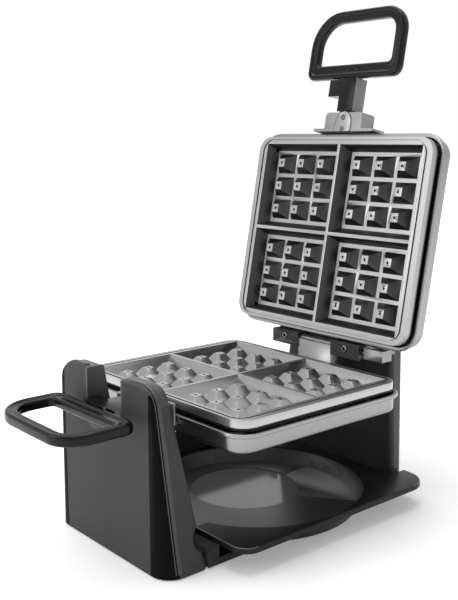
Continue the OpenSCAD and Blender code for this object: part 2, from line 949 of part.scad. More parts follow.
module left_shell() {
    difference() {
        left_solid(0);
        left_solid(shell_t);
        pan_space();
        cradle_notch(liner_r + liner_t);
        scoop();
    }
}

module left_outer_shell() {
    color("#4a4a4a")
        difference() {
            left_shell();
            left_inner_side();
        }
}

module left_inner_shell() {
    color("#333333")
        intersection() {
            left_shell();
            left_inner_side();
        }
}

module cradle_liner() {
    color("#222222")
        intersection() {
            difference() {
                cradle_notch(liner_r + liner_t);
                cradle_notch(liner_r);
            }
            left_solid(0);
        }
}

module left_support_plate() {
    color("silver")
        difference() {
            box([-left_support_x, -left_support_x + support_t], [-left_support_w / 2, left_support_w / 2],
                [pan_top, left_support_top]);
            cradle_notch(liner_r + liner_t + slip);
        }
}

module right_shell() {
    difference() {
        right_solid(0);
        right_solid(shell_t);
        pan_space();
        at_axis() {
            rod_x(bearing_x0 - spot_face, bearing_x0 + bearing_hole_end, bearing_r + slip, 0, 0);
            rod_x(bearing_x0 - spot_face, bearing_x0, bearing_r + bearing_flange + slip, 0, 0);
        }
        rod_y(base_d / 2 - gland_seat, base_d / 2 + over, gland_r + slip, gland_x, gland_z);
    }
}

module right_outer_shell() {
    color("#4a4a4a")
        difference() {
            right_shell();
            right_inner_side();
        }
}

module right_inner_shell() {
    color("#222222")
        intersection() {
            right_shell();
            right_inner_side();
        }
}

module right_support_plate() {
    x0 = right_support_x;
    x1 = x0 + support_t;
    color("silver")
        difference() {
            box([x0, x1], [-right_support_w / 2, right_support_w / 2], [pan_top, right_support_top]);
            at_axis() rod_x(x0 - over, x1 + over, bearing_r + slip, 0, 0);
        }
}

module swivel_bearing() {
    color("ivory")
        at_axis()
            difference() {
                union() {
                    rod_x(bearing_x0 - bearing_lip, bearing_x1, bearing_r, 0, 0);
                    rod_x(bearing_x0 - bearing_lip, bearing_x0, bearing_r + bearing_flange, 0, 0);
                }
                rod_x(bearing_x0 - spot_face, bearing_x1 + over, shaft_r + slip, 0, 0);
            }
}

module terminal_block() {
    middle = (terminal_y[0] + terminal_y[1]) / 2;
    top = pan_top + terminal_h;
    color("ivory")
        difference() {
            box([terminal_x, terminal_x + terminal_w], terminal_y, [pan_top, top]);
            for (i = [-1, 0, 1])
                rod_z(pan_top + terminal_h / 3, top + over, terminal_r, terminal_x + terminal_w / 2,
                      middle + i * terminal_pitch);
        }
}

module cable_gland() {
    back = base_d / 2 - gland_z * (crown_in - crown_r) / crown_z;
    y0 = back + gland_len[0];
    y1 = back + gland_len[1];
    color("#1a1a1a")
        difference() {
            union() {
                rod_y(y0, y1, gland_r, gland_x, gland_z);
                rod_y(back + gland_collar_y[0], back + gland_collar_y[1], gland_r + gland_collar, gland_x,
                      gland_z);
            }
            rod_y(y0 - over, y1 + over, gland_r - gland_wall, gland_x, gland_z);
        }
}

// Floor pan with a rail each side that carries the tray
module base_pan() {
    front = base_d / 2;
    behind = front + gap;
    bay_front = behind - upright_lean * (bay_h - shell_bottom);
    left = -left_in_foot + fit;
    right = right_in_foot - fit;
    wall_lean = (left_in_top - left_in_foot) / (upright_h - 1 - shell_bottom);
    color("#2b2b2b")
        difference() {
            union() {
                pan_space();
                box([left, right], [-front, bay_back], [shell_bottom, pan_top]);
                box([rail_right, right], [-front, front], [shell_bottom, rail_top]);
                along_y(-front, front)
                    polygon([[left, shell_bottom], [rail_left, shell_bottom], [rail_left, rail_top],
                             [left - wall_lean * (rail_top - shell_bottom), rail_top]]);
                box([bay_left, bay_right], [behind, bay_back], [shell_bottom, pan_top]);
                box([bay_left, bay_right], [bay_back - bay_t, bay_back], [shell_bottom, bay_h]);
                for (x = [bay_left, bay_right - bay_t])
                    along_x(x, x + bay_t)
                        polygon([[behind, shell_bottom], [bay_back, shell_bottom], [bay_back, bay_h],
                                 [bay_front, bay_h]]);
            }
            box([-left_out, right_out_foot], [-front + shell_t, front - shell_t], [0, pan_lift]);
            box([-left_out, rail_left + over], [-relief_y, relief_y],
                [dish_floor + relief_up, rail_top + over]);
            scoop();
            at_feet() rod_z(pan_lift - over, pan_top + over, screw_r + slip, 0, 0);
        }
}

module at_feet() {
    for (sx = [-1, 1])
        for (sy = [-1, 1])
            translate([sx * foot_x, sy * foot_y, 0])
                children();
}

// Four screwed feet, and a plain pad under the middle of the pan
module rubber_feet() {
    color("#111111") {
        at_feet()
            difference() {
                rod_z(0, pan_lift, foot_r, 0, 0);
                rod_z(-over, foot_recess, screw_head_r + gap, 0, 0);
                rod_z(-over, pan_lift + over, screw_r + slip, 0, 0);
            }
        rod_z(0, pan_lift, foot_r, 0, 0);
    }
}

module foot_screws() {
    color("silver")
        at_feet() {
            rod_z(foot_recess / 2, foot_recess - eps, screw_head_r, 0, 0);
            rod_z(foot_recess - eps, pan_top - over, screw_r, 0, 0);
        }
}

// Tray: a plate with a band round its edge, a dished middle and a wing in front of the right upright
module tray_outline(inset) {
    right = tray_inner_right - inset;
    left = tray_left + inset;
    back = tray_back - inset;
    polygon(concat(
        arc(tray_right - tray_corner, -tray_front + tray_corner, tray_corner - inset, 270, wing_turn),
        [[tray_right - inset, tray_wing_y - inset], [right, tray_wing_y - inset]],
        [[right, back - tray_cut], [right - tray_cut, back]],
        [[left + tray_cut, back], [left, back - tray_cut]],
        arc(tray_left + tray_corner_left, -tray_front + tray_corner_left,
            tray_corner_left - inset, 180, 270)));
}

module dish_profile(grow) {
    under = tray_top - tray_t;
    polygon([[0, dish_floor - grow], [dish_floor_r + grow / 2, dish_floor - grow],
             [dish_r + grow / 2, under], [dish_r + grow / 2, tray_top + eps], [0, tray_top + eps]]);
}

module dish(grow) {
    translate([dish_x, dish_y, 0])
        rotate_extrude($fn = dish_fn)
            dish_profile(grow);
}

module drip_tray() {
    color("#1c1c1c")
        difference() {
            union() {
                slab(tray_top - tray_t, tray_top) tray_outline(0);
                difference() {
                    slab(tray_top - tray_lip, tray_top - tray_t + eps) tray_outline(0);
                    slab(tray_top - tray_lip - over, tray_top) tray_outline(tray_t);
                }
                intersection() {
                    dish(dish_wall);
                    box([-left_out, left_out], [-base_d, base_d], [0, tray_top]);
                }
            }
            dish(0);
            translate([dish_x + well_right, dish_y + well_behind, 0])
                rod_z(dish_floor - well_depth, dish_floor + over, well_r, 0, 0);
            box([tray_left - over, relief_x], [-relief_y + over, relief_y - over],
                [dish_floor + relief_up, tray_top + over]);
        }
}

// Lower half --------------------------------------------------------------------------------------

module lower_housing() { color("#9a9a9a") lower_half() housing(true); }
module lower_plate() { color("#8a8a8a") lower_half() grid_plate(); }
module lower_element() { color("#555555") lower_half() element(); }
module lower_reflector() { color("gainsboro") lower_half() reflector(); }
module lower_thermostat() { color("tan") lower_half() thermostat(); }
module lower_thermal_fuse() { color("ivory") lower_half() thermal_fuse(); }
module lower_plate_screws() { color("silver") lower_half() plate_screws(); }
module lower_bracket() { color("silver") lower_half() bracket(); }
module lower_clamp_plate() { color("silver") lower_half() clamp_plate(); }
module lower_bracket_screws() { color("dimgray") lower_half() bracket_screws(); }
module lower_neck() { color("#2a2a2a") lower_half() neck(-journal_r, journal_r); }
module lower_handle() { color("#2a2a2a") lower_half() handle(); }
module lower_handle_screws() { color("dimgray") lower_half() handle_screws(); }

// Lid ---------------------------------------------------------------------------------------------

module upper_housing() { color("#a8a8a8") upper_half() housing(false); }
module upper_plate() { color("#8a8a8a") upper_half() grid_plate(); }
module upper_element() { color("#555555") upper_half() element(); }
module upper_reflector() { color("gainsboro") upper_half() reflector(); }
module upper_thermal_fuse() { color("ivory") upper_half() thermal_fuse(); }
module upper_plate_screws() { color("silver") upper_half() plate_screws(); }
module upper_bracket() { color("silver") upper_half() bracket(); }
module upper_clamp_plate() { color("silver") upper_half() clamp_plate(); }
module upper_bracket_screws() { color("dimgray") upper_half() bracket_screws(); }
module upper_neck() { color("#2a2a2a") upper_half() neck(0, journal_r); }
module upper_handle() { color("#2a2a2a") upper_half() handle(); }
module upper_handle_screws() { color("dimgray") upper_half() handle_screws(); }

base_pan();
rubber_feet();
foot_screws();
left_outer_shell();
left_inner_shell();
left_support_plate();
cradle_liner();
right_outer_shell();
right_inner_shell();
right_support_plate();
swivel_bearing();
terminal_block();
cable_gland();
lower_housing();
lower_plate();
lower_element();
lower_reflector();
lower_thermostat();
lower_thermal_fuse();
lower_plate_screws();
lower_bracket();
lower_clamp_plate();
lower_bracket_screws();
lower_neck();
lower_handle();
lower_handle_screws();
hinge_block();
hinge_block_screws();
hinge_pin();
swivel_shaft();
shaft_retainer();
swivel_lead();
upper_housing();
upper_plate();
upper_element();
upper_reflector();
upper_thermal_fuse();
upper_plate_screws();
upper_bracket();
upper_clamp_plate();
upper_bracket_screws();
upper_neck();
upper_handle();
upper_handle_screws();
front_hinge_ear();
rear_hinge_ear();
ear_screws();
lid_stop_lug();
drip_tray();
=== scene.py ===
from math import cos, pi, radians, sin

import bmesh
import bpy
from mathutils import Matrix, Vector


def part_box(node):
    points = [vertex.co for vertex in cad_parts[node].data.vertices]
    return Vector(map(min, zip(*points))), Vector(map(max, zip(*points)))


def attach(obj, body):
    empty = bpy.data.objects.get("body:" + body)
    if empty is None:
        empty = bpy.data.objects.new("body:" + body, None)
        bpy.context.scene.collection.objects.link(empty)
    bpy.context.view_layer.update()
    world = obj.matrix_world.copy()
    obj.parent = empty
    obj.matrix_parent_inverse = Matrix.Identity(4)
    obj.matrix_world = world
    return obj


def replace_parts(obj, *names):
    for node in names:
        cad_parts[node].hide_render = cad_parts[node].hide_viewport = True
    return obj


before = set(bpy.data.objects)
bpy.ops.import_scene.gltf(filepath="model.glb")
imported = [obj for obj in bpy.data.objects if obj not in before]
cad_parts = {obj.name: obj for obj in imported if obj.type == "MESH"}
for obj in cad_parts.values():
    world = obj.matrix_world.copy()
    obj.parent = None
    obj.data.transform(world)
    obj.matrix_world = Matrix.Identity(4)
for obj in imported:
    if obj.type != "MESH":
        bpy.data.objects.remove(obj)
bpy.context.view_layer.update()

scene = bpy.context.scene
scene.view_settings.view_transform = "Standard"
mm = 0.001

# ---- Camera ----------------------------------------------------------------------------------------
# Stands at the front left, a little above the lid hinge, and looks slightly down.
camera_data = bpy.data.cameras.new("camera")
camera_data.lens = 53.85
camera_data.sensor_width = 36.0
camera = bpy.data.objects.new("camera", camera_data)
camera.location = (-0.5526, -0.6327, 0.3575)
camera.rotation_euler = (radians(90 - 10.18), 0, radians(-40.56))
scene.collection.objects.link(camera)
scene.camera = camera

# ---- Studio ----------------------------------------------------------------------------------------
# A pale floor that runs out to white under a soft overhead lamp and a softer one from the left. The
# surround is white where it is seen, also in shiny and clear things, and the light that it gives falls
# more from the left.
world = bpy.data.worlds.new("surround")
scene.world = world
world.use_nodes = True
tree = world.node_tree
background = tree.nodes["Background"]
direction = tree.nodes.new("ShaderNodeTexCoord")
toward = tree.nodes.new("ShaderNodeVectorMath")
toward.operation = "DOT_PRODUCT"
toward.inputs[1].default_value = (-0.8, 0.45, 0.4)
tree.links.new(direction.outputs["Generated"], toward.inputs[0])
fill = tree.nodes.new("ShaderNodeMapRange")
fill.inputs["From Min"].default_value = -0.8
fill.inputs["From Max"].default_value = 0.8
fill.inputs["To Min"].default_value = 0.1
fill.inputs["To Max"].default_value = 0.72
tree.links.new(toward.outputs["Value"], fill.inputs["Value"])
background.inputs["Color"].default_value = (1, 1, 1, 1)


def seen_rays(tree):
    """1 where the eye, a shiny surface or a clear one looks, and 0 for light that falls on the object."""
    path = tree.nodes.new("ShaderNodeLightPath")
    seen = path.outputs["Is Camera Ray"]
    for ray in ("Is Glossy Ray", "Is Transmission Ray"):
        either = tree.nodes.new("ShaderNodeMath")
        either.operation = "MAXIMUM"
        tree.links.new(seen, either.inputs[0])
        tree.links.new(path.outputs[ray], either.inputs[1])
        seen = either.outputs[0]
    return seen


strength = tree.nodes.new("ShaderNodeMix")
strength.inputs["B"].default_value = 1.0
tree.links.new(seen_rays(tree), strength.inputs["Factor"])
tree.links.new(fill.outputs["Result"], strength.inputs["A"])
tree.links.new(strength.outputs["Result"], background.inputs["Strength"])


def soft_lamp(name, place, target, size, power):
    """A square lamp at a place, aimed at a target."""
    data = bpy.data.lights.new(name, "AREA")
    data.shape = "SQUARE"
    data.size = size
    data.energy = power
    lamp = bpy.data.objects.new(name, data)
    lamp.location = place
    aim = Vector(target) - Vector(place)
    lamp.rotation_euler = aim.to_track_quat("-Z", "Y").to_euler()
    scene.collection.objects.link(lamp)


soft_lamp("overhead_lamp", (0, 0.25, 1.6), (0, 0, 0.1), 1.3, 17)
soft_lamp("left_lamp", (-1.4, 0.5, 0.8), (0, 0, 0.15), 0.9, 7)

work = bmesh.new()
bmesh.ops.create_circle(work, cap_ends=True, segments=64, radius=14)
floor_mesh = bpy.data.meshes.new("floor")
work.to_mesh(floor_mesh)
work.free()
floor = bpy.data.objects.new("floor", floor_mesh)
scene.collection.objects.link(floor)
floor_paint = bpy.data.materials.new("floor_paint")
floor_paint.use_nodes = True
tree = floor_paint.node_tree
shade = tree.nodes["Principled BSDF"]
shade.inputs["Base Color"].default_value = (0.88, 0.88, 0.88, 1)
shade.inputs["Roughness"].default_value = 0.9
shade.inputs["Specular IOR Level"].default_value = 0.1
place = tree.nodes.new("ShaderNodeTexCoord")
away = tree.nodes.new("ShaderNodeVectorMath")
away.operation = "LENGTH"
tree.links.new(place.outputs["Object"], away.inputs[0])
ramp = tree.nodes.new("ShaderNodeMapRange")
ramp.interpolation_type = "SMOOTHSTEP"
ramp.inputs["From Min"].default_value = 0.12
ramp.inputs["From Max"].default_value = 0.75
ramp.inputs["To Min"].default_value = 0.28
ramp.inputs["To Max"].default_value = 1.0
tree.links.new(away.outputs["Value"], ramp.inputs["Value"])
glow_level = tree.nodes.new("ShaderNodeMath")
glow_level.operation = "MULTIPLY"
tree.links.new(seen_rays(tree), glow_level.inputs[0])
tree.links.new(ramp.outputs["Result"], glow_level.inputs[1])
glow = tree.nodes.new("ShaderNodeEmission")
tree.links.new(glow_level.outputs[0], glow.inputs["Strength"])
both = tree.nodes.new("ShaderNodeAddShader")
tree.links.new(shade.outputs[0], both.inputs[0])
tree.links.new(glow.outputs[0], both.inputs[1])
tree.links.new(both.outputs[0], tree.nodes["Material Output"].inputs["Surface"])
floor_mesh.materials.append(floor_paint)

# ---- Base pan and feet -------------------------------------------------------------------------------
# One black moulding that ties the uprights together: a low floor pan with a rail each side for the tray
# and a wall behind it. A lip laps the left upright's foot, and rubber feet are screwed on from below.


def moulded(name, colour, roughness, grain, depth, shine=0.5, mottle=0.12):
    """Moulded plastic: a faint mottle in the colour and a fine grain in the surface."""
    paint = bpy.data.materials.new(name)
    paint.use_nodes = True
    tree = paint.node_tree
    shade = tree.nodes["Principled BSDF"]
    shade.inputs["Specular IOR Level"].default_value = shine
    place = tree.nodes.new("ShaderNodeTexCoord")
    cloud = tree.nodes.new("ShaderNodeTexNoise")
    cloud.inputs["Scale"].default_value = 30
    cloud.inputs["Detail"].default_value = 4
    tree.links.new(place.outputs["Object"], cloud.inputs["Vector"])
    tint = tree.nodes.new("ShaderNodeMix")
    tint.data_type = "RGBA"
    tint.inputs["A"].default_value = (*[c * (1 - mottle) for c in colour], 1)
    tint.inputs["B"].default_value = (*[c * (1 + mottle) for c in colour], 1)
    tree.links.new(cloud.outputs["Fac"], tint.inputs["Factor"])
    tree.links.new(tint.outputs["Result"], shade.inputs["Base Color"])
    speck = tree.nodes.new("ShaderNodeTexNoise")
    speck.inputs["Scale"].default_value = grain
    speck.inputs["Detail"].default_value = 3
    tree.links.new(place.outputs["Object"], speck.inputs["Vector"])
    rough = tree.nodes.new("ShaderNodeMapRange")
    rough.inputs["To Min"].default_value = roughness - 0.05
    rough.inputs["To Max"].default_value = roughness + 0.05
    tree.links.new(speck.outputs["Fac"], rough.inputs["Value"])
    tree.links.new(rough.outputs["Result"], shade.inputs["Roughness"])
    bump = tree.nodes.new("ShaderNodeBump")
    bump.inputs["Strength"].default_value = 0.35
    bump.inputs["Distance"].default_value = depth
    tree.links.new(speck.outputs["Fac"], bump.inputs["Height"])
    tree.links.new(bump.outputs["Normal"], shade.inputs["Normal"])
    return paint


def metal(name, colour, roughness, stretch, depth, spread=0.06):
    """Metal with fine marks, which stretch makes that many times finer along X, Y and Z."""
    paint = bpy.data.materials.new(name)
    paint.use_nodes = True
    tree = paint.node_tree
    shade = tree.nodes["Principled BSDF"]
    shade.inputs["Metallic"].default_value = 1.0
    place = tree.nodes.new("ShaderNodeTexCoord")
    lay = tree.nodes.new("ShaderNodeMapping")
    lay.inputs["Scale"].default_value = stretch
    tree.links.new(place.outputs["Object"], lay.inputs["Vector"])
    marks = tree.nodes.new("ShaderNodeTexNoise")
    marks.inputs["Scale"].default_value = 60
    marks.inputs["Detail"].default_value = 5
    tree.links.new(lay.outputs["Vector"], marks.inputs["Vector"])
    tint = tree.nodes.new("ShaderNodeMix")
    tint.data_type = "RGBA"
    tint.inputs["A"].default_value = (*[c * (1 - spread) for c in colour], 1)
    tint.inputs["B"].default_value = (*[c * (1 + spread) for c in colour], 1)
    tree.links.new(marks.outputs["Fac"], tint.inputs["Factor"])
    tree.links.new(tint.outputs["Result"], shade.inputs["Base Color"])
    rough = tree.nodes.new("ShaderNodeMapRange")
    rough.inputs["To Min"].default_value = roughness - spread
    rough.inputs["To Max"].default_value = roughness + spread
    tree.links.new(marks.outputs["Fac"], rough.inputs["Value"])
    tree.links.new(rough.outputs["Result"], shade.inputs["Roughness"])
    bump = tree.nodes.new("ShaderNodeBump")
    bump.inputs["Strength"].default_value = 0.3
    bump.inputs["Distance"].default_value = depth
    tree.links.new(marks.outputs["Fac"], bump.inputs["Height"])
    tree.links.new(bump.outputs["Normal"], shade.inputs["Normal"])
    return paint


def dress(paint, *nodes):
    """Gives CAD nodes that are shown as they are their finish."""
    for node in nodes:
        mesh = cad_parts[node].data
        mesh.materials.clear()
        mesh.materials.append(paint)


def merged(node):
    """A copy of a CAD node's mesh with its triangles joined into flat faces."""
    work = bmesh.new()
    work.from_mesh(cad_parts[node].data)
    bmesh.ops.remove_doubles(work, verts=work.verts, dist=0.00001)
    bmesh.ops.dissolve_limit(work, angle_limit=radians(0.8), verts=work.verts, edges=work.edges)
    return work


def ease(work, radius, steps=2, shortest=2.2, least=28, where=None):
    """Rounds the sharp edges of a closed mesh."""
    sharp = [
        e
        for e in work.edges
        if len(e.link_faces) == 2
        and e.is_convex
        and e.calc_length() > shortest * mm
        and e.calc_face_angle(0) > radians(least)
        and (where is None or where((e.verts[0].co + e.verts[1].co) / 2))
    ]
    bmesh.ops.bevel(
        work, geom=sharp, offset=radius * mm, offset_type="OFFSET", affect="EDGES", segments=steps,
        profile=0.5, material=-1, clamp_overlap=True, loop_slide=True,
    )


def piece(name, work, body, paints, smooth=40, place=None, panel=None):
    """Turns a finished mesh into a piece that rides on a body. Faces larger than a panel stay flat."""
    if place is not None:
        work.transform(place)
        if place.determinant() < 0:
            bmesh.ops.recalc_face_normals(work, faces=work.faces)
    mesh = bpy.data.meshes.new(name)
    work.to_mesh(mesh)
    work.free()
    for paint in paints:
        mesh.materials.append(paint)
    mesh.shade_smooth()
    mesh.set_sharp_from_angle(angle=radians(smooth))
    if panel is not None:
        for face in mesh.polygons:
            face.use_smooth = face.area < panel
    made = bpy.data.objects.new(name, mesh)
    scene.collection.objects.link(made)
    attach(made, body)
    return made


black_plastic = moulded("black_plastic", (0.03, 0.03, 0.03), 0.5, 1400, 0.00006, 0.25)
rubber = moulded("rubber", (0.015, 0.015, 0.015), 0.75, 900, 0.0002, 0.2)
zinc = metal("zinc", (0.5, 0.5, 0.51), 0.35, (3, 3, 3), 0.00005)

work = merged("base_pan")
ease(work, 0.8, where=lambda p: p.x > -0.1 or p.y > -0.06)
lip = Matrix.Translation((-0.1075, -0.083, 0.008)) @ Matrix.Diagonal((0.005, 0.0008, 0.013, 1))
bmesh.ops.create_cube(work, size=1, matrix=lip)
large_panel = 0.0002
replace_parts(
    piece("floor_pan", work, "base", [black_plastic], panel=large_panel), "base_pan"
)
dress(rubber, "rubber_feet", "cable_gland")
dress(zinc, "foot_screws")

# ---- Left upright --------------------------------------------------------------------------------------
# A hollow post with a U-shaped cradle in its top, moulded in two: a grey satin outer cover and a black
# inner one. They meet in a raised rim that runs up the front, over each horn and down the back. The rim,
# the cradle's walls and the inner cover's crown are painted lighter as painted highlight, and the outer
# cover's faces more than 65 mm to the front and back are painted near black as painted shade.
grey_plastic = moulded("grey_plastic", (0.043, 0.043, 0.043), 0.55, 1600, 0.00005, 0.22)
# A lighter grey for the seam rim, the cradle walls, the crowns and the right cover's front and back: painted
# highlight.
highlight_plastic = moulded("highlight_plastic", (0.06, 0.06, 0.06), 0.33, 1600, 0.00003, 0.4)
inner_plastic = moulded("inner_plastic", (0.045, 0.045, 0.045), 0.5, 1600, 0.00005, 0.3)
# Near black for the outer cover's faces beyond 65 mm front and back: painted shade.
front_shade_plastic = moulded("front_shade_plastic", (0.004, 0.004, 0.004), 0.5, 1600, 0.00005, 0.05)
seam_foot = -0.137
seam_lean = 0.056
horn_y = -0.052
horn_z = 0.142
horn_r = 0.019
edge_y = 0.065
cover_edge = -0.136
notch_half = 0.0345
notch_foot_z = 0.1
crown_z = 0.13

work = merged("left_outer_shell")
ease(work, 1.0, where=lambda p: p.x < cover_edge or p.z > 0.15)
for side in (-1, 1):
    bmesh.ops.bisect_plane(
        work, geom=work.verts[:] + work.edges[:] + work.faces[:], dist=0.000001,
        plane_co=(0, side * edge_y, 0), plane_no=(0, side, 0),
    )
# Faces beyond 65 mm front and back take the painted shade, and the cradle's walls the painted highlight.
for face in work.faces:
    middle = face.calc_center_median()
    face.material_index = 1 if abs(middle.y) > edge_y else 0
    if abs(middle.y) < notch_half and middle.z > notch_foot_z and abs(face.normal.y) > 0.4:
        face.material_index = 2
cover_paints = [grey_plastic, front_shade_plastic, highlight_plastic]
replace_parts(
    piece("left_cover", work, "base", cover_paints, 32, panel=large_panel),
    "left_outer_shell",
)
work = merged("left_inner_shell")
ease(work, 1.0, where=lambda p: p.x > cover_edge and not (p.x > -0.13 and p.z < 0.1 and p.y < -0.06))
# The cradle's walls and the upward faces of the crown take the painted highlight.
for face in work.faces:
    middle = face.calc_center_median()
    in_notch = abs(middle.y) < notch_half and middle.z > notch_foot_z and abs(face.normal.y) > 0.4
    on_crown = middle.z > crown_z and face.normal.z > 0.2
    face.material_index = 1 if in_notch or on_crown else 0
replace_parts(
    piece("left_inner_cover", work, "base", [inner_plastic, highlight_plastic], 32, panel=large_panel),
    "left_inner_shell",
)

lean_angle = radians(6.03)
rim_half = 2.1 * mm
rim_proud = 1.1 * mm
rim_sunk = 0.6 * mm
notch_edge = 0.0335


def rim_strip(half, proud, shift):
    """A strip that lies along the seam of one horn, from the floor over the crown to the notch."""
    work = bmesh.new()
    run = horn_z / cos(lean_angle) - 0.003
    start = Vector((0, horn_y - horn_r * cos(lean_angle), horn_z + horn_r * sin(lean_angle)))
    along = Vector((0, sin(lean_angle), cos(lean_angle)))
    out = Vector((0, -cos(lean_angle), sin(lean_angle)))
    foot = start - along * run
    corners = [
        work.verts.new(foot + Vector((x, 0, 0)) + out * d)
        for x, d in ((-half, -rim_sunk), (-half, proud), (half, proud), (half, -rim_sunk))
    ]
    section = work.faces.new(corners)
    made = bmesh.ops.extrude_face_region(work, geom=[section])
    moved = [g for g in made["geom"] if isinstance(g, bmesh.types.BMVert)]
    bmesh.ops.translate(work, verts=moved, vec=along * run)
    face = [g for g in made["geom"] if isinstance(g, bmesh.types.BMFace)]
    turned = bmesh.ops.spin(
        work, geom=face, cent=(0, horn_y, horn_z), axis=(1, 0, 0), dvec=(0, 0, 0),
        angle=-(pi / 2 - lean_angle), steps=12, use_duplicate=False,
    )
    last = [g for g in turned["geom_last"] if isinstance(g, bmesh.types.BMFace)]
    made = bmesh.ops.extrude_face_region(work, geom=last)
    moved = [g for g in made["geom"] if isinstance(g, bmesh.types.BMVert)]
    bmesh.ops.translate(work, verts=moved, vec=(0, -horn_y - notch_edge, 0))
    inner = [f for f in work.faces if len(f.edges) == 4 and all(len(e.link_faces) > 2 for e in f.edges)]
    bmesh.ops.delete(work, geom=inner, context="FACES_ONLY")
    bmesh.ops.remove_doubles(work, verts=work.verts, dist=0.00001)
    bmesh.ops.recalc_face_normals(work, faces=work.faces)
    edges = [
        e for e in work.edges
        if len(e.link_faces) == 2 and e.calc_face_angle(0) > radians(60) and e.calc_length() > 0.001
    ]
    bmesh.ops.bevel(
        work, geom=edges, offset=min(half, proud) * 0.75, offset_type="OFFSET", affect="EDGES", segments=3,
        profile=0.5, material=-1, clamp_overlap=True,
    )
    lean = Matrix.Identity(4)
    lean[0][2] = -seam_lean
    lean[0][3] = seam_foot + shift
    work.transform(lean)
    other = work.copy()
    other.transform(Matrix.Scale(-1, 4, (0, 1, 0)))
    bmesh.ops.recalc_face_normals(other, faces=other.faces)
    pair = bpy.data.meshes.new("pair")
    other.to_mesh(pair)
    work.from_mesh(pair)
    other.free()
    bpy.data.meshes.remove(pair)
    return work


# The rim and its thin bead take the lighter paint as painted highlight.
piece("left_seam_rim", rim_strip(rim_half, rim_proud, 0), "base", [highlight_plastic])
piece("left_seam_bead", rim_strip(0.5 * mm, 0.5 * mm, -3.6 * mm), "base", [highlight_plastic])
dress(zinc, "left_support_plate")
nylon = moulded("nylon", (0.07, 0.07, 0.07), 0.4, 700, 0.00003, 0.4)
work = merged("cradle_liner")
ease(work, 0.6)
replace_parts(piece("cradle_lining", work, "base", [nylon]), "cradle_liner")

# ---- Right upright -------------------------------------------------------------------------------------
# A slimmer hollow post that leans outwards and carries the grill's swivel bearing. The mains terminals
# sit in its foot and the lead leaves through a gland at the back.
work = merged("right_outer_shell")
ease(work, 1.0, where=lambda p: p.x > 0.13)
# The right cover's faces towards the front and back take the lighter paint as painted highlight.
for face in work.faces:
    face.material_index = 1 if abs(face.normal.y) > 0.5 else 0
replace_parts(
    piece("right_cover", work, "base", [grey_plastic, highlight_plastic], 32, panel=large_panel),
    "right_outer_shell",
)
work = merged("right_inner_shell")
ease(work, 1.0)
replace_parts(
    piece("right_inner_cover", work, "base", [black_plastic], 32, panel=large_panel),
    "right_inner_shell",
)
ceramic = moulded("ceramic", (0.75, 0.72, 0.66), 0.45, 500, 0.0001)
dress(ceramic, "terminal_block", "lower_thermal_fuse", "upper_thermal_fuse", "lower_thermostat")
dress(zinc, "right_support_plate")
work = merged("swivel_bearing")
ease(work, 0.6, shortest=0.3)
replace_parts(piece("swivel_bush", work, "base", [nylon]), "swivel_bearing")

# ---- Drip tray -----------------------------------------------------------------------------------------
# A glossy black pressing with a turned-down edge, a round dish and a flat polished well to the right and
# rear of the dish's middle. The dish floor, its wall and the eased top edge are painted lighter as painted
# reflection and highlight, and the well mid grey as painted reflection. It slides forward out of the base
# on the two rails.
gloss_black = moulded("gloss_black", (0.012, 0.012, 0.012), 0.4, 300, 0.000004, 0.2)
# Lighter paints for the dish wall, the eased edge, the dish floor and the well: painted reflection and
# highlight.
wall_painted_sheen = moulded("wall_painted_sheen", (0.06, 0.06, 0.06), 0.4, 300, 0.000004, 0.5)
edge_painted_highlight = moulded("edge_painted_highlight", (0.12, 0.12, 0.12), 0.3, 300, 0.000004, 0.6)
dish_painted_light = moulded("dish_painted_light", (0.045, 0.045, 0.045), 0.35, 300, 0.000004, 1.0)
well_painted_reflection = moulded("well_painted_reflection", (0.26, 0.26, 0.26), 0.12, 300, 0.000002, 0.8)
tray_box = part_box("drip_tray")
tray_top = tray_box[1][2]
dish_floor_z = 10 * mm
dish_r = 100 * mm
dish_middle = Vector((0.012, -0.012))
work = merged("drip_tray")
ease(
    work, 1.4, steps=3, shortest=0.5,
    where=lambda p: p.z > tray_top - 0.001 and (Vector((p.x, p.y)) - dish_middle).length > dish_r + 0.008,
)
# The dish floor, the well, the dish wall and the eased edge take the painted reflection and highlight.
for face in work.faces:
    middle = face.calc_center_median()
    reach = (Vector((middle.x, middle.y)) - dish_middle).length
    face.material_index = 0
    if face.normal.z > 0.9 and middle.z < tray_top - 0.01 and reach < dish_r:
        face.material_index = 2 if middle.z < dish_floor_z - 0.0002 else 1
    elif 0.2 < face.normal.z < 0.9 and dish_floor_z < middle.z < tray_top - 0.002 and reach < dish_r + 0.01:
        face.material_index = 4
    elif reach > dish_r + 0.012 and 0.55 < face.normal.z < 0.97 and middle.z > tray_top - 0.002:
        face.material_index = 3
tray_paints = [gloss_black, dish_painted_light, well_painted_reflection, edge_painted_highlight, wall_painted_sheen]
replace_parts(piece("dish_tray", work, "tray", tray_paints, 35), "drip_tray")

# ---- Grill housings ------------------------------------------------------------------------------------
# Each half of the grill has a deep-drawn satin steel shell, open towards its plate, with a flat bead
# folded round its mouth. The lower one hangs from the flip axis and the upper one is the lid.
axis_z = 135 * mm
hinge_x = 112.8 * mm
hinge_rise = 13.8 * mm
lower_place = Matrix.Translation((0, 0, axis_z)) @ Matrix.Scale(-1, 4, (0, 0, 1))
upper_place = (
    Matrix.Translation((hinge_x, 0, axis_z + hinge_rise))
    @ Matrix.Rotation(radians(100.5), 4, "Y")
    @ Matrix.Translation((-hinge_x, 0, -hinge_rise))
)


